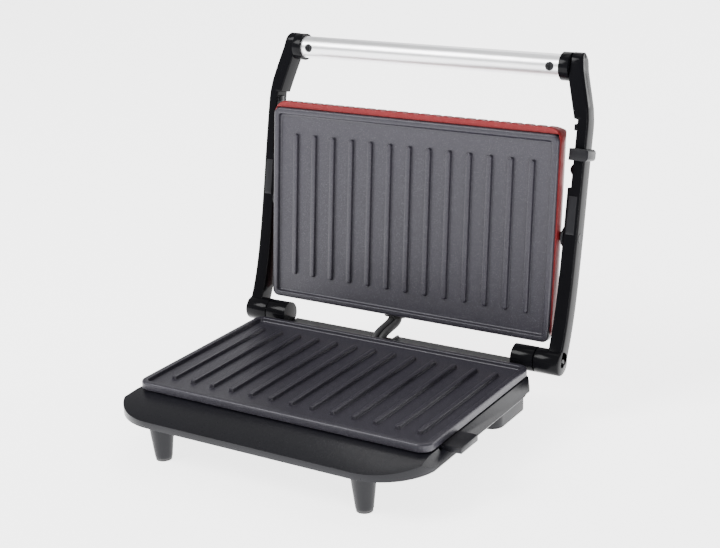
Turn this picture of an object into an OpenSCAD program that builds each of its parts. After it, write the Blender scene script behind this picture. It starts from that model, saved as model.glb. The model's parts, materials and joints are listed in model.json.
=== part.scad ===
// Two-slice panini press with a floating upper housing, standing open on four feet.
// The origin is on the table under the middle of the open press: +X right, +Y to the rear, +Z up.

/* [Grill plates] */
// Width of the upper grill plate
plate_w = 230; // [228:0.5:231]
// Width of the lower grill plate
lower_plate_w = 225; // [222:0.5:225.5]
// Depth of each grill plate, front to rear
plate_d = 144; // [142:1:146]
// Corner radius of the upper grill plate
plate_corner_r = 5; // [4:0.5:8]
// Corner radius of the lower grill plate
lower_corner_r = 8; // [4:0.5:10]
// Height of a plate's outer rim
rim_h = 5.5; // [5:0.1:6]
// Width of the rim's top face
rim_w = 4.5; // [3:0.1:6]
// Depth of the cooking tray inside the rim
tray_depth = 3; // [2.5:0.1:4]
// Number of grill ribs on a plate
rib_count = 13; // [9:1:13]
// Distance from one grill rib to the next
rib_pitch = 16; // [14:0.5:17]
// Width of a grill rib
rib_w = 4; // [3:0.1:6]
// Length of a grill rib with its round ends
rib_len = 107; // [90:1:120]
// Height of a grill rib above the tray
rib_h = 2.4; // [1.5:0.1:2.4]

/* [Base] */
// Height of the lower plate's rim above the table
plate_top_z = 42; // [41:0.5:43]
// Place of the lower plate's middle, front to rear
plate_y = -23.5; // [-24:0.5:-23]
// Width of the base at the foot of its flared side walls
base_w = 237; // [236:0.5:237.5]
// Width of the base at the top of its side walls
base_top_w = 226.4; // [226:0.2:230]
// Reach of the front ledge in front of the lower plate
ledge_d = 33.5; // [30:0.5:34]
// Height of the upright front edge of the ledge
ledge_edge_h = 4.5; // [4:0.5:6]
// Radius of the ledge's front corners
ledge_corner_r = 40; // [24:1:42]
// Height of the shell's lower edge above the table
skirt_z = 27.5; // [27:0.5:28]
// Wall thickness of the mouldings
wall = 2.2; // [1.8:0.1:2.4]
// Height of the bottom cover's floor above the table
belly_z = 15; // [13:0.5:16]

/* [Feet] */
// Distance of each front foot from the middle
front_foot_x = 78; // [60:1:84]
// Radius of a front foot at its tip
foot_tip_r = 5.8; // [5:0.1:7]
// Radius of a front foot at its root
foot_root_r = 8.7; // [8:0.1:10]
// Distance of each rear foot from the middle
rear_foot_x = 80; // [60:1:90]
// Thickness of a rubber foot pad
pad_h = 2; // [1.5:0.1:3]

/* [Hinge and arms] */
// Place of the hinge axis, front to rear
hinge_y = 62.4; // [62:0.1:63]
// Height of the hinge axis above the table
hinge_z = 41.2; // [41:0.1:42]
// Angle of the open upper plate from lying closed
open_deg = 96.1; // [92:0.1:100]
// Radius of the hinge barrels
barrel_r = 8.8; // [8.4:0.1:9.4]
// Radius of the steel hinge pins
hinge_pin_r = 2.5; // [2:0.1:3]
// Outer width over both arms
arms_w = 259; // [258:0.5:261]
// Thickness of an arm across the press
arm_t = 10; // [8.5:0.1:10]
// Depth of an arm, from its lower to its upper face
arm_h = 13.4; // [12:0.1:14]
// Radius of the float pivot pins
pivot_pin_r = 3; // [2.5:0.1:3.5]
// Distance of the float pivots from the hinge axis, along the arms
pivot_d = 84; // [80:1:88]
// Height of the float pivots over the hinge axis when the arms lie flat
pivot_n = 18.5; // [17:0.5:19]

/* [Handle] */
// Radius of the handle tube
handle_r = 8; // [7:0.1:8.5]
// Length of the handle tube
handle_len = 209.6; // [200:0.2:212]
// Distance of the handle from the hinge axis, along the arms
handle_d = 197.5; // [195:0.5:200]
// Height of the handle over the hinge axis when the arms lie flat
handle_n = 32.8; // [32:0.1:34]

/* [Upper housing] */
// Width of the fluted housing
housing_w = 232.4; // [232:0.2:233]
// Depth of the fluted housing, front to rear
housing_d = 149.9; // [149.5:0.1:150.2]
// Height of the housing from its lower lip to its crown
housing_h = 22.3; // [22.3:0.1:23]
// Distance from one flute to the next
flute_pitch = 9; // [8:0.1:12]
// Depth of a flute
flute_depth = 1.2; // [0.6:0.1:1.5]

/* [Latch] */
// Place of the latch slider along the arm, as a share of its length
latch_place = 0.745; // [0.73:0.005:0.755]
// Height of the latch slider's bar, along the arm
latch_h = 8; // [6:0.5:9]
// Reach of the latch slider beyond the arm's outer face
latch_reach = 4; // [3.5:0.1:4.2]

/* [Link cable] */
// Diameter of one strand of the link cable
strand_dia = 5.2; // [4:0.1:5.4]

/* [Hidden] */
$fn = 48;

gap = 0.3;
fit_gap = 0.05;
deck_z = plate_top_z - rim_h - 0.5;
plate_front_y = plate_y - plate_d / 2;
plate_rear_y = plate_y + plate_d / 2;
ledge_y = plate_front_y - ledge_d;
shell_rear_y = plate_rear_y + 1;
deck_w = 188;
deck_rear_y = 71;
body_inset = 8;
plate_body_h = 3;
element_r = 3.2;
belly_w = 192;
belly_front_y = ledge_y + 45.5;
haunch_w = 227;
haunch_front_y = -4;
haunch_rear_y = 41;
front_foot_y = ledge_y + 15;
rear_foot_y = 50;
bracket_in_x = 94;
bracket_out_x = 110.5;
arm_out_x = arms_w / 2;
arm_in_x = arm_out_x - arm_t;
arm_relief = 2;
plate_n = 6.15;
plate_mid_d = 82.3;
lip_n = 9;
crown_n = lip_n + housing_h;
housing_mid_d = 84.15;
crown_r = 18.5;
housing_corner_r = 10;
flutes = 23;
screw_x = 110.5;
screw_y = 64;
arm_tip = 3.3;
pivot_head_r = 3.6;
frame_n = plate_n + rim_h + 0.4;
element_n = plate_n + rim_h + plate_body_h + element_r + 0.1;
washer_t = 1.5;
latch_t = 3.4;
latch_leg_h = 10;
latch_return_h = 4;
latch_return_t = 1.5;
deck_top_z = deck_z - 1;
belly_rear_y = deck_rear_y - 2;
lid_gland_t = 0.9;
screw_lug_t = 1.5;
tab_y = -78;
tab_out = 13;
frame_t = 2;
cheek_in = 100.4;
cheek_w = 9.8;
cheek_h = 10.5;
link_x = -10.3;
inlet_x = 45;
inlet_z = 21.3;
inlet_hole_r = 5;
inlet_bore_r = 3.75;
strand_sides = 10;
strand_steps = 12;

// The middle line of an arm, seen from the side, as distance and height from the hinge axis.
arm_spine = [[0, 1], [38, 21], [125, 18], [handle_d, handle_n]];
arm_steps = 28;

// A point of a cubic curve through four control points, and the curve's direction there.
function curve_point(p, t) = pow(1 - t, 3) * p[0] + 3 * pow(1 - t, 2) * t * p[1]
  + 3 * (1 - t) * t * t * p[2] + pow(t, 3) * p[3];
function curve_slope(p, t) = 3 * pow(1 - t, 2) * (p[1] - p[0]) + 6 * (1 - t) * t * (p[2] - p[1])
  + 3 * t * t * (p[3] - p[2]);
function unit(v) = v / norm(v);
function side_step(p, t, off) = curve_point(p, t) + off * unit([-curve_slope(p, t)[1], curve_slope(p, t)[0]]);
function lean(p, t) = atan2(curve_slope(p, t)[1], curve_slope(p, t)[0]);
function ribbon(p, half, steps) = concat(
  [for (i = [0:steps]) side_step(p, i / steps, half)],
  [for (i = [steps:-1:0]) side_step(p, i / steps, -half)]
);

// Places children, drawn as if the lid lay closed and flat on the hinge axis, at the open lid.
module on_lid() {
  translate([0, hinge_y, hinge_z]) rotate([-open_deg, 0, 0]) children();
}

// A point of the lid, d along the arms from the hinge axis and n over it.
module at_lid(x, d, n) {
  on_lid() translate([x, -d, n]) children();
}

module both_sides() {
  children();
  mirror([1, 0, 0]) children();
}

module on_side(side) {
  if (side < 0) mirror([1, 0, 0]) children();
  else children();
}

module round_rect(w, d, r) {
  square([w - 2 * r, d], center = true);
  square([w, d - 2 * r], center = true);
  for (sx = [-1, 1], sy = [-1, 1])
    translate([sx * (w / 2 - r), sy * (d / 2 - r)]) circle(r);
}

module stadium(w, len) {
  square([w, len - w], center = true);
  for (s = [-1, 1]) translate([0, s * (len - w) / 2]) circle(w / 2);
}

// A round bar along X.
module x_bar(x0, x1, r) {
  translate([x0, 0, 0]) rotate([0, 90, 0]) cylinder(h = x1 - x0, r = r);
}

// A straight round rod between two points.
module rod(a, b, r) {
  along = b - a;
  translate(a)
    rotate([0, acos(along[2] / norm(along)), atan2(along[1], along[0])])
      cylinder(h = norm(along), r = r, $fn = 16);
}

// A cooking plate lying face up, with its rim's top face at z = 0.
module grill_plate(w, r) {
  difference() {
    translate([0, 0, -rim_h]) linear_extrude(rim_h) round_rect(w, plate_d, r);
    translate([0, 0, -tray_depth])
      linear_extrude(tray_depth + 1)
        round_rect(w - 2 * rim_w, plate_d - 2 * rim_w, r - 2);
  }
  translate([0, 0, -rim_h - plate_body_h])
    linear_extrude(plate_body_h)
      round_rect(w - 2 * body_inset, plate_d - 2 * body_inset, r - 1);
  for (i = [0:rib_count - 1])
    translate([(i - (rib_count - 1) / 2) * rib_pitch, 0, -tray_depth])
      linear_extrude(rib_h) stadium(rib_w, rib_len);
}

// A U-shaped tubular heater lying in the XY plane, with its two terminals towards -X.
module heater() {
  run = 80;
  spread = 38;
  for (s = [-1, 1]) translate([0, s * spread, 0]) x_bar(-run / 2, run / 2, element_r);
  translate([run / 2, 0, 0])
    rotate([0, 0, -90]) rotate_extrude(angle = 180) translate([spread, 0]) circle(element_r);
  for (s = [-1, 1]) translate([0, s * spread, 0]) x_bar(-run / 2 - 9, -run / 2, 1.4);
}

// A shallow sheet tray with its mouth up.
module sheet_tray(w, d, h) {
  difference() {
    linear_extrude(h) round_rect(w, d, 6);
    translate([0, 0, 0.8]) linear_extrude(h) round_rect(w - 1.6, d - 1.6, 5.2);
  }
}

// A round fuse body with a lead at each end, along X.
module fuse_link() {
  x_bar(-9, 9, 2.2);
  x_bar(-20, -9, 0.6);
  x_bar(9, 20, 0.6);
}

module cross_head_screw(r, len) {
  difference() {
    union() {
      cylinder(h = len, r = r / 2);
      translate([0, 0, len]) cylinder(h = 1.6, r = r);
    }
    for (a = [0, 90])
      rotate([0, 0, a]) translate([-r * 0.7, -0.4, len + 0.8]) cube([r * 1.4, 0.8, 2]);
  }
}

/* Base */

// The shell's plan, with wide rounded front corners.
module shell_plan(inset) {
  r = ledge_corner_r - inset;
  half = base_w / 2 - inset;
  front = ledge_y + inset;
  rear = shell_rear_y - inset;
  rear_r = 20;
  translate([-half, front + r]) square([2 * half, rear - rear_r - front - r]);
  translate([-half + r, front]) square([2 * (half - r), r + 1]);
  translate([-half + rear_r, rear - rear_r - 1]) square([2 * (half - rear_r), rear_r + 1]);
  for (s = [-1, 1]) {
    translate([s * (half - r), front + r]) circle(r, $fn = 96);
    translate([s * (half - rear_r), rear - rear_r]) circle(rear_r);
  }
}

// The flared outline of the side walls, seen from the front.
module shell_section(inset) {
  top = base_top_w / 2 - inset;
  flare = base_w / 2 - inset;
  polygon([
    [-top, deck_z], [-flare, skirt_z + 1.2], [-flare + 0.8, skirt_z],
    [flare - 0.8, skirt_z], [flare, skirt_z + 1.2], [top, deck_z]
  ]);
}

module shell_walls(inset) {
  rotate([90, 0, 0]) translate([0, 0, -200]) linear_extrude(400) shell_section(inset);
}

// The side view: the sloping ledge, then the level deck that the plate stands on.
module shell_profile() {
  polygon([
    [ledge_y, skirt_z], [ledge_y, skirt_z + ledge_edge_h], [plate_front_y, deck_z],
    [shell_rear_y, deck_z], [shell_rear_y, skirt_z]
  ]);
}

module shell_cavity() {
  intersection() {
    linear_extrude(100) shell_plan(wall);
    shell_walls(wall);
    rotate([90, 0, 90]) translate([0, 0, -150]) linear_extrude(300)
      polygon([
        [ledge_y, skirt_z - 1], [ledge_y, skirt_z + ledge_edge_h - wall],
        [plate_front_y, deck_z - wall], [shell_rear_y, deck_z - wall], [shell_rear_y, skirt_z - 1]
      ]);
  }
  translate([-base_w / 2 + 4, ledge_y + ledge_corner_r, skirt_z - 1])
    cube([base_w - 8, shell_rear_y - ledge_y - ledge_corner_r - wall, 2]);
}

// The lower edge of each side wall sweeps up at the rear, where the wall steps back.
module rear_sweep() {
  sweep = [[6, skirt_z], [24, skirt_z], [38, skirt_z + 1.5], [43, deck_z]];
  difference() {
    rotate([90, 0, 90]) translate([0, 0, -150]) linear_extrude(300)
      polygon(concat(
        [for (k = [0:10]) curve_point(sweep, k / 10)],
        [[shell_rear_y + 5, deck_z + 1], [shell_rear_y + 5, skirt_z - 1], [6, skirt_z - 1]]
      ));
    shell_walls(1.2);
  }
}

module base_shell() {
  color([0.09, 0.09, 0.1])
    difference() {
      union() {
        intersection() {
          linear_extrude(100) shell_plan(0);
          shell_walls(0);
          rotate([90, 0, 90]) translate([0, 0, -150]) linear_extrude(300) shell_profile();
        }
        translate([-deck_w / 2, shell_rear_y - 2, skirt_z])
          cube([deck_w, deck_rear_y - shell_rear_y + 2, deck_top_z - skirt_z]);
      }
      shell_cavity();
      rear_sweep();
      translate([-deck_w / 2 + wall, shell_rear_y - 6, skirt_z - 1])
        cube([deck_w - 2 * wall, deck_rear_y - shell_rear_y + 6 - wall, deck_top_z - skirt_z + 1 - wall]);
      translate([0, plate_y, deck_z - 10])
        linear_extrude(20)
          round_rect(lower_plate_w - 2 * body_inset + 1, plate_d - 2 * body_inset + 1, lower_corner_r);
      translate([gland_x - gland_w / 2, gland_front_y, gland_z]) cube([gland_w, 20, 20]);
      translate([base_top_w / 2 - 2, tab_y - 5, deck_z - 2]) cube([8, 4, 4]);
    }
}

// The bottom cover's plan: a narrow belly that widens to two haunches at the rear.
module belly_plan(inset) {
  r = 8 - inset;
  depth = belly_rear_y - belly_front_y - 2 * inset;
  translate([0, (belly_front_y + belly_rear_y) / 2])
    round_rect(belly_w - 2 * inset, depth, r);
  translate([0, (haunch_front_y + haunch_rear_y) / 2])
    round_rect(haunch_w - 2 * inset, haunch_rear_y - haunch_front_y - 2 * inset, r);
}

module base_bottom() {
  color([0.07, 0.07, 0.08])
    difference() {
      union() {
        translate([0, 0, belly_z]) linear_extrude(skirt_z - belly_z) belly_plan(0);
        intersection() {
          translate([0, 0, skirt_z]) linear_extrude(2) shell_plan(wall + 2.2);
          translate([-150, -200, 0]) cube([300, 200 + shell_rear_y - 5, 100]);
        }
      }
      translate([0, 0, belly_z + wall]) linear_extrude(40) belly_plan(wall);
      translate([inlet_x, belly_rear_y + 1, inlet_z]) rotate([90, 0, 0]) cylinder(h = 10, r = inlet_hole_r);
      for (i = [-4:4])
        translate([i * 14, -10, belly_z - 1]) linear_extrude(10) stadium(4, 40);
      for (s = [-1, 1], y = [-60, 58])
        translate([s * 60, y, belly_z - 1]) cylinder(h = 10, r = 1.6);
    }
}

module lower_plate() {
  color([0.28, 0.27, 0.3]) translate([0, plate_y, plate_top_z]) grill_plate(lower_plate_w, lower_corner_r);
}

module lower_element() {
  color([0.45, 0.42, 0.4])
    translate([0, plate_y, plate_top_z - rim_h - plate_body_h - element_r - 0.1]) heater();
}

module lower_reflector() {
  color([0.75, 0.75, 0.77])
    translate([0, plate_y, plate_top_z - rim_h - plate_body_h - 2 * element_r - 2.4])
      sheet_tray(belly_w - 2 * wall - 4, 112, 2);
}

// Two spring clips that hold a plate's body, one near each end.
module plate_clips() {
  for (s = [-1, 1])
    translate([s * 88, 0, 0]) {
      translate([-4, -9, 0]) cube([8, 18, 0.8]);
      translate([-4, -9, -4]) cube([8, 0.8, 4]);
      translate([-4, 8.2, -4]) cube([8, 0.8, 4]);
    }
}

module lower_plate_clips() {
  color([0.7, 0.7, 0.72])
    translate([0, plate_y, plate_top_z - rim_h - plate_body_h - 0.85]) plate_clips();
}

module thermostat() {
  color([0.85, 0.83, 0.78])
    translate([20, plate_y, belly_z + wall]) {
      cylinder(h = 5, r = 8);
      translate([-11, -3, 0]) cube([22, 6, 1]);
    }
}

module base_thermal_fuse() {
  color([0.8, 0.7, 0.5]) translate([-30, plate_y + 20, belly_z + wall + 2.3]) fuse_link();
}

module terminal_block() {
  color([0.9, 0.9, 0.88])
    translate([inlet_x - 12, 36, belly_z + wall])
      difference() {
        cube([24, 12, 7]);
        for (i = [0:2]) translate([4.5 + i * 7.5, 6, 3]) cylinder(h = 10, r = 1.8);
      }
}

module base_wires() {
  color([0.75, 0.15, 0.12])
    for (i = [0:2]) {
      x = inlet_x - 7.5 + i * 7.5;
      rod([x, 48.8, belly_z + wall + 4], [inlet_x + (i - 1) * 1.9, 58, inlet_z], 0.9);
      rod([x, 35.8, belly_z + wall + 4], [x - 4, 8, belly_z + wall + 2], 0.9);
    }
}

module foot_post(tip_r, root_r, z0, z1) {
  translate([0, 0, z0]) cylinder(h = z1 - z0, r1 = tip_r, r2 = root_r);
}

// A front foot: a tapered round post with a triangular web behind it.
module front_foot(side) {
  web_t = 3;
  web_d = foot_root_r + 16.5;
  translate([side * front_foot_x, front_foot_y, 0]) {
    foot_post(foot_tip_r, foot_root_r, pad_h, skirt_z);
    translate([-web_t / 2, 0, 0]) rotate([90, 0, 90]) linear_extrude(web_t)
      polygon([[0, 9], [foot_tip_r + 0.6, 9], [web_d, skirt_z - 1], [web_d, skirt_z], [0, skirt_z]]);
  }
}

module front_foot_left() {
  color([0.08, 0.08, 0.09]) front_foot(-1);
}

module front_foot_right() {
  color([0.08, 0.08, 0.09]) front_foot(1);
}

module rear_foot(side) {
  translate([side * rear_foot_x, rear_foot_y, 0]) foot_post(foot_tip_r + 0.6, foot_root_r, pad_h, belly_z);
}

module rear_foot_left() {
  color([0.08, 0.08, 0.09]) rear_foot(-1);
}

module rear_foot_right() {
  color([0.08, 0.08, 0.09]) rear_foot(1);
}

module foot_pads() {
  color([0.15, 0.15, 0.15])
    for (s = [-1, 1]) {
      translate([s * front_foot_x, front_foot_y, 0]) cylinder(h = pad_h, r = foot_tip_r - 0.4);
      translate([s * rear_foot_x, rear_foot_y, 0]) cylinder(h = pad_h, r = foot_tip_r);
    }
}

module bottom_screws() {
  color([0.6, 0.6, 0.62])
    for (s = [-1, 1], y = [-60, 58])
      translate([s * 60, y, belly_z + 6]) rotate([180, 0, 0]) cross_head_screw(3, 6);
}

// The catch on the right wall that the latch slider drops beside.
module catch_tab() {
  tab_l = 22;
  tab_t = 4;
  color([0.06, 0.06, 0.07])
    difference() {
      translate([base_top_w / 2 - 0.2, tab_y, deck_z + 0.7 - tab_t]) cube([tab_out, tab_l, tab_t]);
      shell_walls(0);
    }
}

module hinge_bracket(side) {
  on_side(side)
    difference() {
      union() {
        translate([0, hinge_y, hinge_z]) x_bar(bracket_in_x, bracket_out_x, barrel_r);
        translate([bracket_in_x, hinge_y - 8, skirt_z]) cube([3, 12, hinge_z - skirt_z]);
      }
      translate([0, hinge_y, hinge_z]) x_bar(bracket_in_x + 3, bracket_out_x + 1, hinge_pin_r + 0.02);
    }
}

module hinge_bracket_left() {
  color([0.1, 0.1, 0.11]) hinge_bracket(-1);
}

module hinge_bracket_right() {
  color([0.1, 0.1, 0.11]) hinge_bracket(1);
}

module hinge_pin(side) {
  on_side(side) translate([0, hinge_y, hinge_z]) x_bar(bracket_in_x + 3, arm_out_x - 2, hinge_pin_r);
}

module hinge_pin_left() {
  color([0.7, 0.7, 0.72]) hinge_pin(-1);
}

module hinge_pin_right() {
  color([0.7, 0.7, 0.72]) hinge_pin(1);
}

// The bush that the mains cord is drawn through, with a round bore.
module cord_inlet_bush() {
  color([0.05, 0.05, 0.05])
    translate([inlet_x, belly_rear_y, inlet_z]) rotate([90, 0, 0])
      difference() {
        union() {
          translate([0, 0, -3]) cylinder(h = 3, r = inlet_hole_r + 1);
          cylinder(h = 8, r = inlet_hole_r - 0.05);
        }
        translate([0, 0, -4]) cylinder(h = 14, r = inlet_bore_r);
      }
}

/* Link cable, from the base's rear edge into the lid's rear wall */

gland_x = -13.8;
gland_w = 20;
gland_wall = 1.8;
gland_front_y = 57;
gland_z = deck_top_z - wall;
lid_gland_n = 14;
lid_gland_d = housing_mid_d - housing_d / 2;
function lid_point(x, d, n) = [
  x,
  hinge_y - d * cos(open_deg) + n * sin(open_deg),
  hinge_z + d * sin(open_deg) + n * cos(open_deg)
];
link_start = [-16.3, 61.5, 34.5];
link_after_start = link_start + 8 * unit([0.15, 0.6, 1]);
link_end = lid_point(link_x, lid_gland_d - lid_gland_t - fit_gap, lid_gland_n);
link_before_end = lid_point(link_x, lid_gland_d - lid_gland_t - 7.5, lid_gland_n);
link_curve = [link_start, link_after_start, link_before_end, link_end];

// The rings of a strand that follows the curve, side by side with the other.
function strand_ring(p, t, off, r) =
  let (
    along = unit(curve_slope(p, t)),
    across = unit([1, 0, 0] - along[0] * along),
    over = cross(across, along),
    mid = curve_point(p, t) + off * across
  )
  [for (i = [0:strand_sides - 1])
    mid + r * (cos(360 * i / strand_sides) * across + sin(360 * i / strand_sides) * over)];

module strand(off) {
  rings = [for (k = [0:strand_steps]) each strand_ring(link_curve, k / strand_steps, off, strand_dia / 2)];
  n = strand_sides;
  sides = [for (k = [0:strand_steps - 1], i = [0:n - 1], upper = [0, 1])
    upper == 0 ? [k * n + i, (k + 1) * n + i, (k + 1) * n + (i + 1) % n]
      : [k * n + i, (k + 1) * n + (i + 1) % n, k * n + (i + 1) % n]];
  polyhedron(
    rings,
    concat([[for (i = [0:n - 1]) i]], sides, [[for (i = [n - 1:-1:0]) strand_steps * n + i]])
  );
}

module link_cable() {
  color([0.05, 0.05, 0.05]) for (s = [-1, 1]) strand(s * (strand_dia / 2 + 0.15));
}

// A U-shaped bush in the notch of the rear deck that the link cable rises through.
module base_cable_gland() {
  opening_w = gland_w - 2 * gland_wall;
  color([0.06, 0.06, 0.07])
    translate([gland_x, gland_front_y, gland_z])
      difference() {
        translate([-gland_w / 2, 0, 0])
          cube([gland_w, deck_rear_y - gland_front_y, deck_top_z - gland_z + 1.2]);
        translate([-opening_w / 2, gland_wall, -1]) cube([opening_w, 20, 20]);
      }
}

module lid_cable_gland() {
  color([0.06, 0.06, 0.07])
    at_lid(link_x, lid_gland_d, lid_gland_n)
      rotate([-90, 0, 0]) linear_extrude(lid_gland_t) round_rect(17, 9, 4);
}

/* Arms and handle */

module arm_side_view() {
  polygon(ribbon(arm_spine, arm_h / 2, arm_steps));
}

// The front view of an arm: upright, then leaning in towards the handle, relieved inside.
module arm_front_view() {
  lean_d = 162;
  top_d = handle_d + handle_r + 2;
  top_x = 120;
  polygon([
    [arm_in_x - 0.4, -12], [arm_in_x - 0.4, 118], [arm_in_x + arm_relief, 118],
    [arm_in_x + arm_relief, 163], [arm_in_x - 0.8, 163.5], [handle_len / 2 + 6.4, 190],
    [handle_len / 2 + 6.4, top_d], [top_x - 6, top_d], [top_x - 1.8, top_d - 1.8], [top_x, top_d - 6],
    [top_x + 1, handle_d - 2], [arm_out_x - 1.5, lean_d + 9], [arm_out_x, lean_d - 2], [arm_out_x, -12]
  ]);
}

// The two stops on an arm's inner side: a square tab above and a round bump below.
module arm_stops() {
  bump_r = 4.6;
  translate([arm_in_x, -160.8, 20.5]) cube([arm_relief + 1, 4.4, 6]);
  translate([arm_in_x - 0.3 + bump_r, -130.3, 18]) cylinder(h = 8, r = bump_r);
}

module arm(side) {
  on_side(side) on_lid()
    difference() {
      union() {
        intersection() {
          rotate([90, 0, -90]) translate([0, 0, -140]) linear_extrude(60)
            union() {
              arm_side_view();
              translate([handle_d, handle_n]) rotate(lean(arm_spine, 1)) {
                translate([-0.1, -arm_h / 2]) square([arm_tip + 0.1, arm_h]);
                translate([arm_tip, 0]) circle(arm_h / 2);
              }
            }
          mirror([0, 1, 0]) translate([0, 0, -30]) linear_extrude(90) arm_front_view();
        }
        x_bar(bracket_out_x + 0.5, arm_out_x, barrel_r);
        arm_stops();
      }
      x_bar(bracket_out_x - 1, arm_out_x - 1.8, hinge_pin_r + fit_gap);
      translate([0, -pivot_d, pivot_n]) x_bar(arm_in_x - 2, arm_out_x + 1, pivot_pin_r + 0.02);
      translate([0, -pivot_d, pivot_n]) x_bar(arm_out_x - 1.5, arm_out_x + 1, pivot_head_r + 0.3);
      arm_cover_body(0);
      translate([0, -handle_d, handle_n]) x_bar(handle_len / 2 - 2, handle_len / 2 + 9, 4.05);
    }
}

module arm_left() {
  color([0.05, 0.05, 0.06]) arm(-1);
}

module arm_right() {
  color([0.05, 0.05, 0.06]) arm(1);
}

// The thin cover let into an arm's lower face above its pivot.
module arm_cover_body(shrink) {
  translate([arm_in_x + 1.6, -113, 0])
    linear_extrude(17) translate([shrink, shrink]) square([6 - 2 * shrink, 26 - 2 * shrink]);
}

module arm_cover(side) {
  on_side(side) on_lid()
    intersection() {
      arm_cover_body(0.1);
      rotate([90, 0, -90]) translate([0, 0, -140]) linear_extrude(60) arm_side_view();
    }
}

module arm_cover_left() {
  color([0.12, 0.12, 0.13]) arm_cover(-1);
}

module arm_cover_right() {
  color([0.12, 0.12, 0.13]) arm_cover(1);
}

module handle_socket(side) {
  on_side(side) at_lid(0, handle_d, handle_n)
    difference() {
      union() {
        x_bar(handle_len / 2 - 0.5, handle_len / 2 + 6.2, handle_r + 1.8);
        x_bar(handle_len / 2 + 6, handle_len / 2 + 9, 4);
        x_bar(handle_len / 2 - 14, handle_len / 2, handle_r - 1.6);
      }
      difference() {
        x_bar(handle_len / 2 - 1, handle_len / 2 + 0.2, handle_r + 0.02);
        x_bar(handle_len / 2 - 2, handle_len / 2 + 1, handle_r - 1.6);
      }
      translate([handle_len / 2 - 7.5, 0, -handle_r]) cylinder(h = 8, r = 1.55);
    }
}

module handle_socket_left() {
  color([0.05, 0.05, 0.06]) handle_socket(-1);
}

module handle_socket_right() {
  color([0.05, 0.05, 0.06]) handle_socket(1);
}

module handle_tube() {
  color([0.85, 0.86, 0.88])
    at_lid(0, handle_d, handle_n)
      difference() {
        x_bar(-handle_len / 2, handle_len / 2, handle_r);
        x_bar(-handle_len / 2 - 1, handle_len / 2 + 1, handle_r - 1.5);
        both_sides() translate([handle_len / 2 - 7.5, 0, -handle_r - 1]) cylinder(h = 4, r = 3.05);
      }
}

module handle_screws() {
  color([0.5, 0.5, 0.52])
    at_lid(0, handle_d, handle_n)
      both_sides() translate([handle_len / 2 - 7.5, 0, -handle_r + 7.5])
        mirror([0, 0, 1]) cross_head_screw(3, 6.2);
}

module pivot_pin(side) {
  on_side(side) at_lid(0, pivot_d, pivot_n) {
    x_bar(cheek_in + 0.5, arm_out_x - 1.4, pivot_pin_r);
    x_bar(arm_out_x - 1.4, arm_out_x + 0.2, pivot_head_r);
  }
}

module pivot_pin_left() {
  color([0.55, 0.55, 0.57]) pivot_pin(-1);
}

module pivot_pin_right() {
  color([0.55, 0.55, 0.57]) pivot_pin(1);
}

module pivot_washers() {
  color([0.06, 0.06, 0.07])
    at_lid(0, pivot_d, pivot_n)
      both_sides() difference() {
        x_bar(arm_in_x - 0.4 - washer_t + gap / 2, arm_in_x - 0.4, 7);
        x_bar(arm_in_x - 3, arm_in_x + 1, pivot_pin_r + 0.02);
      }
}

// The slider's outline as seen from the front, with its two outer corners rounded.
module collar_plan(x0, x1, h, r) {
  translate([x0, -h / 2]) square([x1 - r - x0, h]);
  translate([x0, -h / 2 + r]) square([x1 - x0, h - 2 * r]);
  for (s = [-1, 1]) translate([x1 - r, s * (h / 2 - r)]) circle(r);
}

// A collar round three sides of the right arm: a bar across its lower face, a leg up its outer
// face and a short return up its inner side. It runs between the arm's two stops.
module latch_slider() {
  foot = side_step(arm_spine, latch_place, -arm_h / 2 - gap);
  in_x = arm_in_x + arm_relief - gap - latch_return_t;
  slot_x = in_x + latch_return_t;
  color([0.08, 0.08, 0.09])
    at_lid(0, foot[0], foot[1]) rotate([-lean(arm_spine, latch_place), 0, 0])
      difference() {
        translate([0, 0, -latch_t]) linear_extrude(latch_t + latch_leg_h)
          collar_plan(in_x, arm_out_x + latch_reach, latch_h, 2.4);
        translate([slot_x, -latch_h, 0]) cube([arm_out_x + gap - slot_x, 2 * latch_h, latch_leg_h + 1]);
        translate([in_x - 1, -latch_h, latch_return_h])
          cube([latch_return_t + 1.01, 2 * latch_h, latch_leg_h]);
      }
}

/* Upper housing */

// One half-round-shouldered outline, standing on the x axis.
module shoulder_outline(w, h, r) {
  translate([-w / 2, 0]) square([w, h - r]);
  translate([-w / 2 + r, 0]) square([w - 2 * r, h]);
  for (s = [-1, 1]) translate([s * (w / 2 - r), h - r]) circle(r, $fn = 64);
}

module housing_form(inset) {
  intersection() {
    rotate([90, 0, 0]) translate([0, 0, -housing_d]) linear_extrude(2 * housing_d)
      shoulder_outline(housing_w - 2 * inset, housing_h - inset, crown_r - inset);
    rotate([90, 0, 90]) translate([0, 0, -housing_w]) linear_extrude(2 * housing_w)
      shoulder_outline(housing_d - 2 * inset, housing_h - inset, crown_r - inset);
    linear_extrude(100)
      round_rect(housing_w - 2 * inset, housing_d - 2 * inset, housing_corner_r - inset);
  }
}

// The four screws' places, seen from the housing's middle.
module screw_places() {
  for (x = [-screw_x, screw_x], y = [-screw_y, screw_y]) translate([x, y, 0]) children();
}

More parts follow.
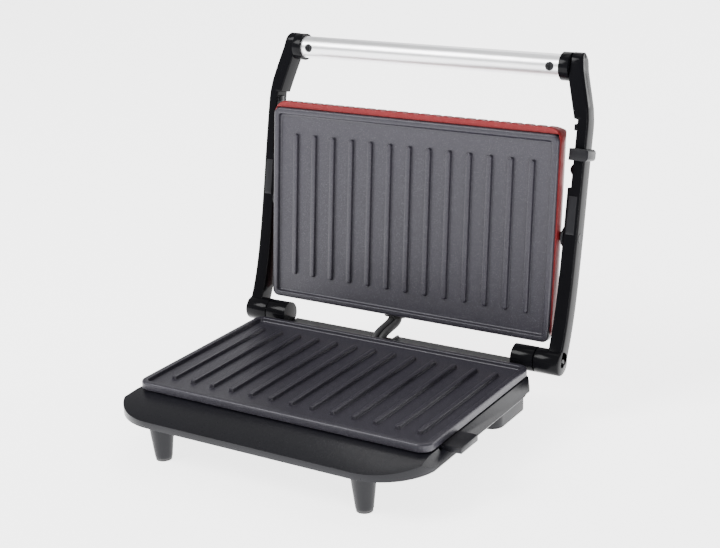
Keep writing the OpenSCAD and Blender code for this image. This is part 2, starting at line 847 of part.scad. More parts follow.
module upper_housing() {
  flute_r = (flute_pitch * flute_pitch / 16 + flute_depth * flute_depth) / (2 * flute_depth);
  color([0.62, 0.07, 0.08])
    at_lid(0, housing_mid_d, lip_n)
      difference() {
        union() {
          difference() {
            housing_form(0);
            translate([0, 0, -0.01]) housing_form(wall);
          }
          intersection() {
            housing_form(0.5);
            screw_places() translate([0, 0, frame_n + frame_t - lip_n]) cylinder(h = screw_lug_t, r = 4);
          }
        }
        screw_places() cylinder(h = 10, r = 1.2);
        translate([0, housing_mid_d - plate_mid_d, -1])
          linear_extrude(frame_n - lip_n + 1)
            round_rect(plate_w + 2 * gap, plate_d + 2 * gap, plate_corner_r);
        for (i = [0:flutes])
          translate([(i - flutes / 2) * flute_pitch, housing_d, housing_h - flute_depth + flute_r])
            rotate([90, 0, 0]) cylinder(h = 2 * housing_d, r = flute_r, $fn = 32);
        translate([0, housing_mid_d - pivot_d, pivot_n - lip_n])
          x_bar(-housing_w, housing_w, pivot_pin_r + 0.6);
        for (x = [-9, 9]) translate([x, -45, housing_h - 5]) cylinder(h = 10, r = 3.1);
      }
}

// The inner frame: a deck behind the plate, two cheeks with the pivot bores, and screw posts.
module upper_frame() {
  edge = wall + gap;
  color([0.1, 0.1, 0.11])
    on_lid()
      difference() {
        union() {
          translate([0, -housing_mid_d, frame_n])
            linear_extrude(frame_t)
              round_rect(housing_w - 2 * edge, housing_d - 2 * edge, housing_corner_r - 2);
          both_sides() translate([cheek_in, -pivot_d - 13, frame_n]) cube([cheek_w, 26, cheek_h]);
        }
        translate([0, -plate_mid_d, 0])
          linear_extrude(frame_n + plate_body_h)
            round_rect(plate_w - 2 * body_inset + 1, plate_d - 2 * body_inset + 1, plate_corner_r);
        translate([0, -pivot_d, pivot_n]) x_bar(-housing_w, housing_w, pivot_pin_r + fit_gap);
        translate([0, -housing_mid_d, frame_n - 1]) screw_places() cylinder(h = 4, r = 1.02);
      }
}

module upper_plate() {
  color([0.3, 0.29, 0.32])
    at_lid(0, plate_mid_d, plate_n) mirror([0, 0, 1]) grill_plate(plate_w, plate_corner_r);
}

module upper_element() {
  color([0.45, 0.42, 0.4]) at_lid(0, plate_mid_d, element_n) heater();
}

module upper_reflector() {
  color([0.75, 0.75, 0.77])
    at_lid(0, plate_mid_d, element_n + element_r + 2.2)
      mirror([0, 0, 1]) sheet_tray(184, 112, 2);
}

module upper_plate_clips() {
  color([0.7, 0.7, 0.72])
    at_lid(0, plate_mid_d, plate_n + rim_h + plate_body_h + 0.85)
      mirror([0, 0, 1]) plate_clips();
}

module upper_thermal_fuse() {
  color([0.8, 0.7, 0.5]) at_lid(-20, 60, element_n + element_r + 4.7) fuse_link();
}

module housing_screws() {
  color([0.6, 0.6, 0.62])
    at_lid(0, housing_mid_d, frame_n)
      screw_places() cross_head_screw(2, frame_t + screw_lug_t);
}

module lens(x) {
  at_lid(x, housing_mid_d + 45, lip_n + housing_h - flute_depth - 3.6) {
    cylinder(h = 4, r = 3);
    translate([0, 0, -1]) cylinder(h = 1, r = 4.2);
  }
}

module power_lens() {
  color([0.9, 0.15, 0.1]) lens(-9);
}

module ready_lens() {
  color([0.2, 0.75, 0.25]) lens(9);
}

base_shell();
base_bottom();
lower_plate();
lower_element();
lower_reflector();
lower_plate_clips();
thermostat();
base_thermal_fuse();
terminal_block();
base_wires();
front_foot_left();
front_foot_right();
rear_foot_left();
rear_foot_right();
foot_pads();
bottom_screws();
catch_tab();
hinge_bracket_left();
hinge_bracket_right();
hinge_pin_left();
hinge_pin_right();
cord_inlet_bush();
base_cable_gland();
link_cable();
arm_left();
arm_right();
arm_cover_left();
arm_cover_right();
handle_socket_left();
handle_socket_right();
handle_tube();
handle_screws();
pivot_pin_left();
pivot_pin_right();
pivot_washers();
latch_slider();
upper_housing();
upper_frame();
upper_plate();
upper_element();
upper_reflector();
upper_plate_clips();
upper_thermal_fuse();
housing_screws();
lid_cable_gland();
power_lens();
ready_lens();
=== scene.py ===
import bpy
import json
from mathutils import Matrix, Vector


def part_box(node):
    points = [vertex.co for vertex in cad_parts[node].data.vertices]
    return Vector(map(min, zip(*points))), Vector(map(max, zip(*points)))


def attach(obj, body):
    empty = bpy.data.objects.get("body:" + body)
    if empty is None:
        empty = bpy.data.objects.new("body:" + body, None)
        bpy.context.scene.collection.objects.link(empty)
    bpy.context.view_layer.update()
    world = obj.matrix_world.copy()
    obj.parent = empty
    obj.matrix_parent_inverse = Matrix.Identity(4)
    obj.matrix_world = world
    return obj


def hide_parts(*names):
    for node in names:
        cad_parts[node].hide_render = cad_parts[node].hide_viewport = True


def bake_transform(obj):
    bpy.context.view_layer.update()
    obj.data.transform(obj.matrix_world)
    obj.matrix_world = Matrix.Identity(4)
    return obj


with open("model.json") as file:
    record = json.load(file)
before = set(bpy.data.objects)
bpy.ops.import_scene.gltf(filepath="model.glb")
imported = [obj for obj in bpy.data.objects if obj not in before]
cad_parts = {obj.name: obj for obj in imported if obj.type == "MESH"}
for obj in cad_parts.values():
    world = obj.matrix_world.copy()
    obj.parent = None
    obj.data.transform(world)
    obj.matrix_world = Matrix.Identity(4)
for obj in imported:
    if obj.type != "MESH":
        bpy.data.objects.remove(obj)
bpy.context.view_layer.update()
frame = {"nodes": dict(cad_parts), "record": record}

import json
import math

import bmesh
import bpy
from mathutils import Matrix, Vector

MM = 0.001
joints = {j["name"]: j for j in frame["record"]["behaviour"]["joints"]}
hinge = Vector(joints["arms_hinge"]["pos_m"]) / MM
open_angle = math.radians(joints["arms_hinge"]["range_deg"][1])
COS, SIN = math.cos(open_angle), math.sin(open_angle)


# ---------------------------------------------------------------- camera
CAMERA_PLACE = (0.51106, -0.79628, 0.42479)
CAMERA_AZIMUTH, CAMERA_ELEVATION, CAMERA_ROLL = 32.24, 18.65, -2.07
CAMERA_LENS, CAMERA_SENSOR = 73.826, 36.0


def make_camera():
    """Looks at the open press from the front right, a little above it, rolled slightly."""
    a, e, r = (math.radians(v) for v in (CAMERA_AZIMUTH, CAMERA_ELEVATION, CAMERA_ROLL))
    back = Vector((math.sin(a) * math.cos(e), -math.cos(a) * math.cos(e), math.sin(e)))
    right = Vector((math.cos(a), math.sin(a), 0))
    up = back.cross(right)
    right, up = right * math.cos(r) + up * math.sin(r), up * math.cos(r) - right * math.sin(r)
    data = bpy.data.cameras.new("camera")
    data.sensor_width, data.lens = CAMERA_SENSOR, CAMERA_LENS
    data.clip_start, data.clip_end = 0.01, 30
    cam = bpy.data.objects.new("camera", data)
    bpy.context.scene.collection.objects.link(cam)
    turn = Matrix((right, up, back)).transposed().to_4x4()
    cam.matrix_world = Matrix.Translation(Vector(CAMERA_PLACE)) @ turn
    bpy.context.scene.camera = cam


make_camera()


# ---------------------------------------------------------------- places on the lid
def lid(x, d, n):
    """World place, in mm, of a point d along the arms from the hinge axis and n over it."""
    return Vector((x, hinge.y - d * COS + n * SIN, hinge.z + d * SIN + n * COS))


def lid_box(node):
    """Lowest and highest (x, d, n) of a CAD node, in mm."""
    pts = []
    for v in frame["nodes"][node].data.vertices:
        y, z = v.co.y / MM - hinge.y, v.co.z / MM - hinge.z
        pts.append((v.co.x / MM, -y * COS + z * SIN, y * SIN + z * COS))
    return [min(p[i] for p in pts) for i in range(3)], [max(p[i] for p in pts) for i in range(3)]


# ---------------------------------------------------------------- mesh building
class Shape:
    """Points in mm and the faces between them."""

    def __init__(self):
        self.verts, self.faces = [], []

    def loft(self, rings, cap0=True, cap1=True):
        """Joins closed rings of equal length, with a cap on the first and the last."""
        base, n = len(self.verts), len(rings[0])
        for ring in rings:
            self.verts += [Vector(p) for p in ring]
        for k in range(len(rings) - 1):
            for i in range(n):
                j = (i + 1) % n
                a, b = base + k * n, base + (k + 1) * n
                self.faces.append((a + i, a + j, b + j, b + i))
        if cap0:
            self.faces.append(tuple(base + i for i in reversed(range(n))))
        if cap1:
            self.faces.append(tuple(base + (len(rings) - 1) * n + i for i in range(n)))
        return self

    def move(self, f):
        self.verts = [Vector(f(*v)) for v in self.verts]
        return self

    def add(self, other):
        base = len(self.verts)
        self.verts += other.verts
        self.faces += [tuple(base + i for i in f) for f in other.faces]
        return self

    def build(self, name, body, material, slot, replaces=(), sharp=35):
        mesh = bpy.data.meshes.new(name)
        mesh.from_pydata([tuple(v * MM) for v in self.verts], [], self.faces)
        bm = bmesh.new()
        bm.from_mesh(mesh)
        bmesh.ops.remove_doubles(bm, verts=bm.verts, dist=1e-7)
        bmesh.ops.recalc_face_normals(bm, faces=bm.faces)
        bm.to_mesh(mesh)
        bm.free()
        for p in mesh.polygons:
            p.use_smooth = True
        mesh.set_sharp_from_angle(angle=math.radians(sharp))
        obj = bpy.data.objects.new(name, mesh)
        bpy.context.scene.collection.objects.link(obj)
        mesh.materials.append(material)
        if body:
            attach(obj, body)
        if replaces:
            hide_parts(*replaces)
        return obj


def turned(r, degrees):
    """Offset at radius r in a direction given in degrees."""
    a = math.radians(degrees)
    return r * math.cos(a), r * math.sin(a)


def circle(r, steps):
    """Offsets round a circle of radius r."""
    for i in range(steps):
        a = 2 * math.pi * i / steps
        yield r * math.cos(a), r * math.sin(a)


def arc(c, r, a0, a1, steps):
    """Points round c from angle a0 to a1, in degrees."""
    out = []
    for i in range(steps + 1):
        x, y = turned(r, a0 + (a1 - a0) * i / steps)
        out.append((c[0] + x, c[1] + y))
    return out


def round_rect(w, d, r):
    """Outline of a rectangle with round corners, anticlockwise from its right side."""
    hx, hy = w / 2 - r, d / 2 - r
    pts = []
    for cx, cy, a0 in ((hx, hy, 0), (-hx, hy, 90), (-hx, -hy, 180), (hx, -hy, 270)):
        pts += arc((cx, cy), r, a0, a0 + 90, 8)
    return pts


def lathe_x(profile):
    """A round piece about the X direction from (x, radius) pairs."""
    return Shape().loft([[(x, y, z) for y, z in circle(r, 64)] for x, r in profile])


# ---------------------------------------------------------------- materials
def remap(tree, value, start, end, low, high):
    """A value's span from start to end, mapped onto low to high."""
    node = tree.nodes.new("ShaderNodeMapRange")
    for name, number in (("From Min", start), ("From Max", end), ("To Min", low), ("To Max", high)):
        node.inputs[name].default_value = number
    tree.links.new(value, node.inputs["Value"])
    return node.outputs["Result"]


def tint(tree, under, amount, color):
    """A colour laid over another one by an amount."""
    mix = tree.nodes.new("ShaderNodeMix")
    mix.data_type = "RGBA"
    mix.inputs["B"].default_value = (*color, 1)
    tree.links.new(amount, mix.inputs["Factor"])
    tree.links.new(under, mix.inputs["A"])
    return mix.outputs["Result"]


def noise(tree, vector, scale, detail):
    node = tree.nodes.new("ShaderNodeTexNoise")
    node.inputs["Scale"].default_value = scale
    node.inputs["Detail"].default_value = detail
    tree.links.new(vector, node.inputs["Vector"])
    return node.outputs["Fac"]


def material(name, color, rough, metallic=0.0, coat=0.0, coat_rough=0.1, specular=0.5,
             grain=0.0, grain_scale=900.0, vary=0.15, rough_vary=0.06, big_scale=18.0,
             sparkle=0.0, sparkle_scale=1400.0, edge=0.25, brushed=(1, 1, 1)):
    """A finish with broad colour variation, fine moulded or cast grain, and convex edges lightened as a
    painted highlight.
    """
    m = bpy.data.materials.new(name)
    m.use_nodes = True
    tree = m.node_tree
    n, ln = tree.nodes, tree.links
    shader = n["Principled BSDF"]
    shader.inputs["Metallic"].default_value = metallic
    shader.inputs["Coat Weight"].default_value = coat
    shader.inputs["Coat Roughness"].default_value = coat_rough
    shader.inputs["Specular IOR Level"].default_value = specular

    where = n.new("ShaderNodeTexCoord").outputs["Object"]
    stretch = n.new("ShaderNodeMapping")
    stretch.inputs["Scale"].default_value = brushed
    ln.new(where, stretch.inputs["Vector"])
    broad = noise(tree, where, big_scale, 6)
    fine = noise(tree, stretch.outputs["Vector"], grain_scale, 3)

    ramp = n.new("ShaderNodeValToRGB")
    darkest, lightest = ramp.color_ramp.elements
    darkest.position, lightest.position = 0.3, 0.7
    darkest.color = (*[c * (1 - vary) for c in color], 1)
    lightest.color = (*[min(1, c * (1 + vary)) for c in color], 1)
    ln.new(broad, ramp.inputs["Fac"])
    out = ramp.outputs["Color"]
    if sparkle:
        cells = n.new("ShaderNodeTexVoronoi")
        cells.inputs["Scale"].default_value = sparkle_scale
        ln.new(where, cells.inputs["Vector"])
        pick = n.new("ShaderNodeSeparateColor")
        ln.new(cells.outputs["Color"], pick.inputs["Color"])
        few = remap(tree, pick.outputs["Red"], 0.86, 1.0, 0.0, sparkle)
        out = tint(tree, out, few, [min(1, c * 3.2 + 0.12) for c in color])
    # Painted highlight: convex edges (high pointiness) are lightened towards a paler colour, by up to edge.
    if edge:
        pointiness = n.new("ShaderNodeNewGeometry").outputs["Pointiness"]
        edge_highlight = remap(tree, pointiness, 0.52, 0.62, 0.0, edge)
        out = tint(tree, out, edge_highlight, [min(1, c * 1.8 + 0.03) for c in color])
    ln.new(out, shader.inputs["Base Color"])
    ln.new(remap(tree, fine, 0.0, 1.0, max(0.02, rough - rough_vary), rough + rough_vary),
           shader.inputs["Roughness"])
    if grain:
        bump = n.new("ShaderNodeBump")
        bump.inputs["Strength"].default_value = grain
        bump.inputs["Distance"].default_value = 0.0002
        ln.new(fine, bump.inputs["Height"])
        ln.new(bump.outputs["Normal"], shader.inputs["Normal"])
    return m


# Each finish's edge amount sets how much painted highlight lightens its convex edges.
M = {
    "base_black": material("base_black", (0.006, 0.006, 0.0085), 0.30, grain=0.25, specular=0.20,
                           rough_vary=0.07),
    "matt_black": material("matt_black", (0.007, 0.007, 0.009), 0.46, grain=0.3, specular=0.20),
    "trim_black": material("trim_black", (0.006, 0.006, 0.008), 0.38, grain=0.25, specular=0.22),
    "gloss_black": material("gloss_black", (0.004, 0.004, 0.005), 0.15, grain=0.03, rough_vary=0.03,
                            specular=0.07, edge=0.1),
    "nonstick": material("nonstick", (0.022, 0.020, 0.029), 0.38, metallic=0.2, grain=0.45, sparkle=0.30,
                         sparkle_scale=3200, grain_scale=2600, vary=0.06, specular=0.5),
    "metallic_red": material("metallic_red", (0.16, 0.009, 0.011), 0.40, metallic=0.3, coat=0.06,
                             coat_rough=0.15, sparkle=0.12, grain=0.04, specular=0.22),
    "satin_aluminium": material("satin_aluminium", (0.93, 0.93, 0.95), 0.33, metallic=0.8, grain=0.15,
                                brushed=(0.05, 1, 1), vary=0.05, edge=0),
    "steel": material("steel", (0.55, 0.55, 0.57), 0.25, metallic=1.0, grain=0.1, vary=0.08),
    "heater_steel": material("heater_steel", (0.25, 0.21, 0.19), 0.45, metallic=0.9, vary=0.3),
    "reflector_sheet": material("reflector_sheet", (0.75, 0.75, 0.77), 0.22, metallic=1.0, vary=0.06),
    "ceramic": material("ceramic", (0.80, 0.78, 0.72), 0.5, vary=0.05, grain=0.2),
    "fuse": material("fuse", (0.70, 0.52, 0.26), 0.3, metallic=1.0),
    "wire_red": material("wire_red", (0.45, 0.04, 0.03), 0.55, grain=0.3),
    "rubber_black": material("rubber_black", (0.020, 0.020, 0.021), 0.6, grain=0.5),
    "lens_red": material("lens_red", (0.55, 0.03, 0.02), 0.12, coat=0.8, edge=0),
    "lens_green": material("lens_green", (0.05, 0.40, 0.08), 0.12, coat=0.8, edge=0),
}
for part in frame["record"]["subparts"]:
    obj = frame["nodes"][part["node"]]
    obj.data.materials.clear()
    obj.data.materials.append(M[part["material_slot"]])


def soften(node, width):
    """Rounds the edges of a CAD node as a moulding has them, with modifiers only."""
    obj = frame["nodes"][node]
    weld = obj.modifiers.new("weld", "WELD")
    weld.merge_threshold = 1e-6
    bevel = obj.modifiers.new("bevel", "BEVEL")
    bevel.width, bevel.segments = width * MM, 3
    bevel.limit_method, bevel.angle_limit = "ANGLE", math.radians(30)
    bevel.use_clamp_overlap = True
    for p in obj.data.polygons:
        p.use_smooth = True


# ---------------------------------------------------------------- grill plates
RIM_WIDTH, TRAY_DEPTH = 4.4, 3.0
RIM_R, RIM_INNER_R, TRAY_R = 1.5, 0.9, 1.2
PLATE_SIDE, PLATE_BODY, BODY_INSET = 5.5, 3.0, 8
RIBS, RIB_PITCH, RIB_LENGTH, RIB_HALF_W = 13, 16.0, 107, 2.0
# Inset from the rib's outline, and height over the tray.
RIB_PROFILE = [(-0.5, 0.0), (-0.15, 0.12), (0.05, 0.5), (0.15, 1.7), (0.4, 2.15), (0.9, 2.37), (1.6, 2.4)]


def plate_shape(w, d, corner_r):
    """A cast plate with its top at height 0: a raised rim round a tray with parallel ribs."""
    profile = [(BODY_INSET, -PLATE_SIDE - PLATE_BODY), (BODY_INSET, -PLATE_SIDE), (0.4, -PLATE_SIDE),
               (0, -PLATE_SIDE + 0.4)]
    profile += arc((RIM_R, -RIM_R), RIM_R, 180, 90, 5)
    profile += arc((RIM_WIDTH - RIM_INNER_R, -RIM_INNER_R), RIM_INNER_R, 90, 0, 5)
    profile += [(RIM_WIDTH + 0.25, -TRAY_DEPTH + TRAY_R)]
    profile += arc((RIM_WIDTH + 0.25 + TRAY_R, -TRAY_DEPTH + TRAY_R), TRAY_R, 180, 270, 5)
    rings = []
    for inset, z in profile:
        outline = round_rect(w - 2 * inset, d - 2 * inset, max(corner_r - inset, 2.2))
        rings.append([(x, y, z) for x, y in outline])
    plate = Shape().loft(rings)
    half = RIB_LENGTH / 2 - RIB_HALF_W
    for k in range(RIBS):
        middle = (k - RIBS // 2) * RIB_PITCH
        rings = []
        for inset, z in RIB_PROFILE:
            ring = []
            for end, first in ((half, 0), (-half, 180)):
                ring += arc((middle, end), max(RIB_HALF_W - inset, 0.05), first, first + 180, 12)
            rings.append([(x, y, z - TRAY_DEPTH) for x, y in ring])
        plate.loft(rings, cap0=False)
    return plate


lower_lo, lower_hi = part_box("lower_plate")
lower_w, lower_d = (lower_hi.x - lower_lo.x) / MM, (lower_hi.y - lower_lo.y) / MM
lower_y, lower_top = (lower_lo.y + lower_hi.y) / 2 / MM, lower_hi.z / MM
plate_shape(lower_w, lower_d, 8.0).move(lambda x, y, z: (x, y + lower_y, z + lower_top)).build(
    "lower_plate_detail", "base", M["nonstick"], "nonstick", ["lower_plate"])

upper_lo, upper_hi = lid_box("upper_plate")
upper_d, upper_face = (upper_lo[1] + upper_hi[1]) / 2, upper_lo[2]
upper = plate_shape(upper_hi[0] - upper_lo[0], upper_hi[1] - upper_lo[1], 5.0)
upper.move(lambda x, y, z: lid(x, upper_d - y, upper_face - z)).build(
    "upper_plate_detail", "lid", M["nonstick"], "nonstick", ["upper_plate"])


# ---------------------------------------------------------------- fluted housing
FLUTE_PITCH, FLUTE_DEPTH, FLUTES_EACH_SIDE = 9.0, 1.2, 12
CROWN_R, CORNER_R, WALL, RECESS = 18.5, 10.0, 2.0, 7.0
# The hinge side's lip is drawn in by this much, where the CAD's housing is that much deeper.
HINGE_SIDE_PULL = 1.2
# The handle side's lip reaches in to this gap from the plate, and stays at least this wide.
PLATE_GAP, LEAST_LIP = 0.3, 0.8


def flute(x):
    """Depth of the grooves across the crown, twelve on each side of the middle."""
    if abs(x) > FLUTES_EACH_SIDE * FLUTE_PITCH:
        return 0.0
    u = (((x / FLUTE_PITCH) % 1.0) - 0.5) * 4
    return FLUTE_DEPTH * max(0.0, 1 - u * u)


def shoulder(reach, half, crown):
    """Height of the rounded shoulder at a distance from the middle."""
    over = min(max(0.0, reach - (half - CROWN_R)), CROWN_R)
    return crown - CROWN_R + math.sqrt(CROWN_R * CROWN_R - over * over)


def soft_min(a, b, k=0.6):
    """The smaller of two heights, with the crease between them rounded."""
    m = max(k - abs(a - b), 0.0) / k
    return min(a, b) - m * m * k / 4


def housing_shape(lo, hi):
    """The lid's shell in a box of (x, d, n): one ring round its section at each step across."""
    half_w, half_d = (hi[0] - lo[0]) / 2, (hi[1] - lo[1]) / 2
    mid_d, lip, crown = (hi[1] + lo[1]) / 2, lo[2], hi[2]
    plate_edge = upper_hi[1] + PLATE_GAP - mid_d
    turns = [math.radians(90 * k / 14) for k in range(15)]

    def edge(half, roof_side, groove, pull, down_to_lip):
        """One long edge, from its lip over the shoulder to the roof."""
        pts = [(half - pull - down_to_lip * groove * 0.8, lip + 0.6)]
        for a in turns:
            y = half_d - CROWN_R * (1 - math.cos(a))
            cut = groove * (1.0 if down_to_lip else min(1.0, max(0.0, a - 0.5)))
            height = soft_min(roof_side, shoulder(y, half_d, crown))
            pts.append((min(y, half) - pull * math.cos(a) - cut * math.cos(a), height - cut * math.sin(a)))
        return pts + [(half_d * share, roof_side - groove) for share in (0.6, 0.3)]

    fluted = FLUTES_EACH_SIDE * FLUTE_PITCH
    across = [-fluted + 2 * fluted * i / 288 for i in range(289)]
    side = [half_w - s for s in (7.3, 6.2, 5, 3.5)] + [half_w - WALL - 0.01, half_w - WALL]
    side += [half_w - s for s in (1.2, 0.6, 0.25, 0.05, 0)]
    rings = []
    for x in [-s for s in reversed(side)] + across + side:
        into = max(0.0, abs(x) - (half_w - CORNER_R))
        half = half_d - (CORNER_R - math.sqrt(max(CORNER_R * CORNER_R - into * into, 0.0)))
        over, groove = shoulder(abs(x), half_w, crown), flute(x)
        hinge_side = edge(half, over, groove, HINGE_SIDE_PULL, 0)
        handle_side = edge(half, over, groove, 0.0, 1)
        ceiling = lip + RECESS if abs(x) < half_w - WALL else lip
        inner, by_plate = half - WALL, -min(plate_edge, half - LEAST_LIP)
        ring = hinge_side + [(0, over - groove)] + [(-y, z) for y, z in reversed(handle_side)]
        ring += [(-half + 0.6, lip), (by_plate, lip + 0.1), (by_plate, ceiling), (inner, ceiling),
                 (inner, lip + 0.1), (half - 1.7, lip)]
        rings.append([(x, y, z) for y, z in ring])
    return Shape().loft(rings).move(lambda x, y, n: lid(x, mid_d - y, n))


housing_shape(*lid_box("upper_housing")).build(
    "housing_detail", "lid", M["metallic_red"], "metallic_red", ["upper_housing"], sharp=42)


# ---------------------------------------------------------------- arms
# The curve that an arm follows, as (d, n) control points, and its sides' x against its reach.
SPINE = [(0, 1), (38, 21), (125, 18), (197.5, 32.8)]
OUTER = [(0, 129.5), (158, 129.5), (163, 129.2), (171, 128.0), (180, 125.6), (196, 121), (203, 119.8),
         (212, 117.6)]
INNER = [(0, 119.1), (117.6, 119.1), (118.2, 121.5), (163, 121.5), (163.6, 118.8), (190, 111.2),
         (215, 111.2)]
# Reaches of the sides' sharper turns, added to the even steps.
TURNS = [117.6, 118.2, 163, 163.6, 171]
ARM_LENGTH = SPINE[-1][0]
ARM_H, ARM_TIP, ARM_STEP, ARM_STEPS = 13.4, 3.3, 2.5, 80
# The hinge barrel as (x, radius), and the slider's two stops as (n, radius) and (n, inset).
BARREL = [(111, 0.5), (111, 8.1), (111.25, 8.6), (111.8, 8.8), (128.4, 8.8), (129.1, 8.5), (129.5, 7.8),
          (129.5, 3.0), (128.4, 2.8), (128.4, 0.5)]
BUMP_X, BUMP_D, BUMP = 123.8, 130.3, [(18.0, 3.8), (18.4, 4.4), (19.0, 4.6), (25.2, 4.6), (26, 4.0)]
TAB_X, TAB_D, TAB_W, TAB_L = 121.0, 158.6, 3.0, 4.4
TAB = [(20.5, 0.7), (20.9, 0), (26.1, 0), (26.5, 0.7)]
PAD_START, PAD_END, PAD_X, PAD_HALF_W, PAD_STEPS = 87.0, 113.0, 124.1, 3.0, 24


def spine(t):
    """Point of the arm's curve and its direction there."""
    p = SPINE
    c = [(1 - t) ** 3 * p[0][i] + 3 * (1 - t) ** 2 * t * p[1][i] + 3 * (1 - t) * t * t * p[2][i]
         + t ** 3 * p[3][i] for i in (0, 1)]
    g = [3 * (1 - t) ** 2 * (p[1][i] - p[0][i]) + 6 * (1 - t) * t * (p[2][i] - p[1][i])
         + 3 * t * t * (p[3][i] - p[2][i]) for i in (0, 1)]
    length = math.hypot(*g)
    return c, (g[0] / length, g[1] / length)


def read_off(x, rows):
    """Value at x in rows of (x, value), straight between them and level beyond them."""
    if x <= rows[0][0]:
        return rows[0][1]
    for (a, va), (b, vb) in zip(rows, rows[1:]):
        if x <= b:
            return va + (vb - va) * (x - a) / (b - a)
    return rows[-1][1]


def at_reach(want):
    """The curve's parameter where it has gone that far along the arm."""
    a, b = 0.0, 1.0
    for _ in range(30):
        m = (a + b) / 2
        a, b = (m, b) if spine(m)[0][0] < want else (a, m)
    return (a + b) / 2


def under_reach(want):
    """The curve's parameter where the arm's lower face has gone that far along the arm."""
    t = want / ARM_LENGTH
    for _ in range(25):
        (d, _n), (_gd, gn) = spine(t)
        t += (want - (d + ARM_H / 2 * gn)) / ARM_LENGTH
    return t


def section(xi, xo, h, r_in, r_out):
    """Rounded section across x and height; the two outer corners have the larger radius."""
    pts = []
    for cx, cz, r, a0 in ((xo, h / 2, r_out, 0), (xi, h / 2, r_in, 90), (xi, -h / 2, r_in, 180),
                          (xo, -h / 2, r_out, 270)):
        ox = cx - r if cx == xo else cx + r
        oz = cz - r if cz > 0 else cz + r
        pts += arc((ox, oz), r, a0, a0 + 90, 6)
    return pts


def arm_shape(side):
    """A bow-shaped arm with its hinge barrel and, on its inner side, the slider's two stops."""
    rings = []

    def ring(d, n, gd, gn, half):
        r_in, r_out = min(1.3, half * 0.9), min(2.3, half * 0.9)
        outline = section(read_off(d, INNER), read_off(d, OUTER), 2 * half, r_in, r_out)
        rings.append([(x, d - h * gn, n + h * gd) for x, h in outline])

    for want in sorted([ARM_STEP * k for k in range(ARM_STEPS)] + TURNS):
        (d, n), (gd, gn) = spine(at_reach(want))
        ring(d, n, gd, gn, ARM_H / 2)
    (d, n), (gd, gn) = spine(1.0)
    for k in range(10):
        a = math.radians(10 * k)
        go = ARM_TIP + ARM_H / 2 * math.sin(a)
        ring(d + go * gd, n + go * gn, gd, gn, max(ARM_H / 2 * math.cos(a), 0.3))
    arm = Shape().loft(rings)
    arm.add(lathe_x(BARREL))
    arm.add(Shape().loft([[(BUMP_X + x, BUMP_D + y, n) for x, y in circle(r, 32)] for n, r in BUMP]))
    arm.add(Shape().loft([[(x + TAB_X, y + TAB_D, n) for x, y in round_rect(TAB_W - o, TAB_L - o, 0.7)]
                          for n, o in TAB]))
    return arm.move(lambda x, d, n: lid(side * x, d, n))


def arm_pad(side):
    """The matt inlay on an arm's lower face, proud of it by a hair."""
    rings = []
    for inset, lift in ((0.0, 0.05), (0.15, -0.28), (0.7, -0.42)):
        ring = []
        first, last = PAD_START + inset, PAD_END - inset
        half, h = PAD_HALF_W - inset, -ARM_H / 2 + lift
        for sign, order in ((-1, range(PAD_STEPS + 1)), (1, reversed(range(PAD_STEPS + 1)))):
            for i in order:
                (d, n), (gd, gn) = spine(under_reach(first + (last - first) * i / PAD_STEPS))
                ring.append((PAD_X + sign * half, d - h * gn, n + h * gd))
        rings.append(ring)
    return Shape().loft(rings).move(lambda x, d, n: lid(side * x, d, n))


for side, word in ((-1, "left"), (1, "right")):
    arm_shape(side).build(
        "arm_detail_" + word, "arms", M["gloss_black"], "gloss_black", ["arm_" + word], sharp=50)
    arm_pad(side).build(
        "arm_inlay_" + word, "arms", M["trim_black"], "trim_black", ["arm_cover_" + word])


# ---------------------------------------------------------------- link cable
CABLE_START, CABLE_START_WAY = Vector((-16.3, 61.5, 34.5)), Vector((0.15, 0.6, 1))
STRAND_R, STRAND_OFF = 2.6, 2.75


def cable_halves():
    """Two strands from the base gland to the lid gland, cut at the middle into two halves."""
    lo, hi = lid_box("lid_cable_gland")
    gland_x, gland_n = (lo[0] + hi[0]) / 2, (lo[2] + hi[2]) / 2
    p0 = CABLE_START
    p1 = p0 + CABLE_START_WAY.normalized() * 8
    p2 = lid(gland_x, lo[1] - 6.6, gland_n)
    p3 = lid(gland_x, lo[1] - 0.05, gland_n)

    def at(t):
        return p0 * (1 - t) ** 3 + p1 * 3 * (1 - t) ** 2 * t + p2 * 3 * (1 - t) * t * t + p3 * t ** 3

    for name, t0, t1, a, b in (("lower", 0.0, 0.5, "base", "arms"), ("upper", 0.5, 1.0, "arms", "lid")):
        half = Shape()
        for off in (-STRAND_OFF, STRAND_OFF):
            rings = []
            for k in range(17):
                t = t0 + (t1 - t0) * k / 16
                along = (at(t + 0.001) - at(t - 0.001)).normalized()
                across = (Vector((1, 0, 0)) - along * along.x).normalized()
                over = across.cross(along)
                c = at(t) + across * off
                rings.append([c + (across * x + over * y) * STRAND_R for x, y in circle(1, 20)])
            half.loft(rings, cap0=t0 == 0, cap1=t1 == 1)
        piece = half.build("cable_" + name, None, M["rubber_black"], "rubber_black", ["link_cable"])
        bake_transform(piece)


cable_halves()


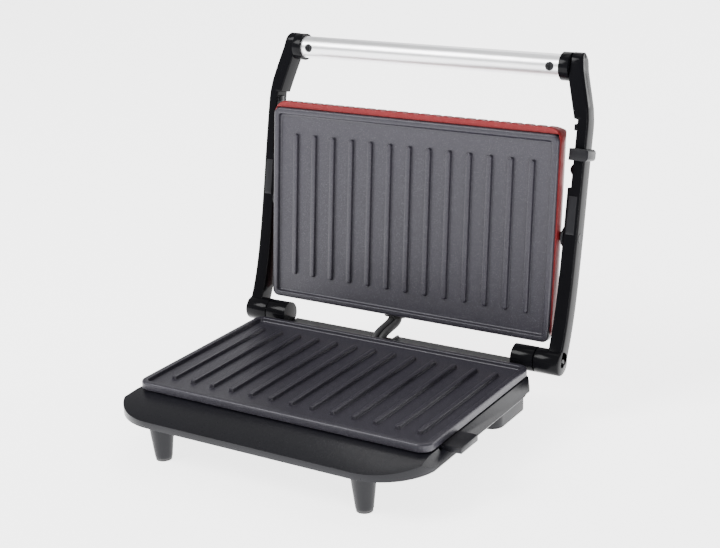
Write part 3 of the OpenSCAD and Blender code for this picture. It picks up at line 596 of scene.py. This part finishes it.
# ---------------------------------------------------------------- edges of the CAD's own mouldings
for node, width in (("base_shell", 1.1), ("base_bottom", 1.6), ("hinge_bracket_left", 0.7),
                    ("hinge_bracket_right", 0.7), ("catch_tab", 0.5), ("latch_slider", 0.45),
                    ("handle_socket_left", 0.5), ("handle_socket_right", 0.5), ("front_foot_left", 0.5),
                    ("front_foot_right", 0.5), ("base_cable_gland", 0.4), ("lid_cable_gland", 0.25)):
    soften(node, width)


# ---------------------------------------------------------------- floor and light
bpy.ops.mesh.primitive_plane_add(size=60, location=(0, 0, 0))
floor = bpy.context.object
floor.name = "floor"
paper = material("floor_paper", (0.93, 0.93, 0.93), 0.8, vary=0.006, edge=0, big_scale=3, specular=0.1)
paper_shader = paper.node_tree.nodes["Principled BSDF"]
paper_shader.inputs["Emission Color"].default_value = (1, 1, 1, 1)
paper_shader.inputs["Emission Strength"].default_value = 3.2
floor.data.materials.append(paper)

world = bpy.data.worlds.new("studio")
bpy.context.scene.world = world
world.use_nodes = True
world.node_tree.nodes["Background"].inputs["Color"].default_value = (1.0, 1.0, 1.0, 1)
world.node_tree.nodes["Background"].inputs["Strength"].default_value = 0.5


def area(name, place, target, size, power, size_y=None):
    """A soft light in metres and watts, square unless it has a second size."""
    data = bpy.data.lights.new(name, "AREA")
    data.energy, data.size = power, size
    if size_y:
        data.shape, data.size_y = "RECTANGLE", size_y
    lamp = bpy.data.objects.new(name, data)
    bpy.context.scene.collection.objects.link(lamp)
    lamp.location = place
    lamp.rotation_mode = "QUATERNION"
    lamp.rotation_quaternion = (Vector(place) - Vector(target)).to_track_quat("Z", "Y")


area("key", (-0.9, -1.0, 1.4), (0, 0, 0.1), 0.8, 36)
area("top", (0.1, 0.5, 1.9), (0, 0, 0.1), 1.4, 9)
area("floor_wash", (-0.6, 2.8, 1.9), (-0.3, 2.0, 0), 2.4, 40)
area("strip", (1.6, -1.0, 0.3), (0.12, 0.05, 0.14), 0.05, 10, size_y=1.2)
area("back_right", (1.15, 1.7, 0.55), (0.11, -0.02, 0.03), 0.8, 14)
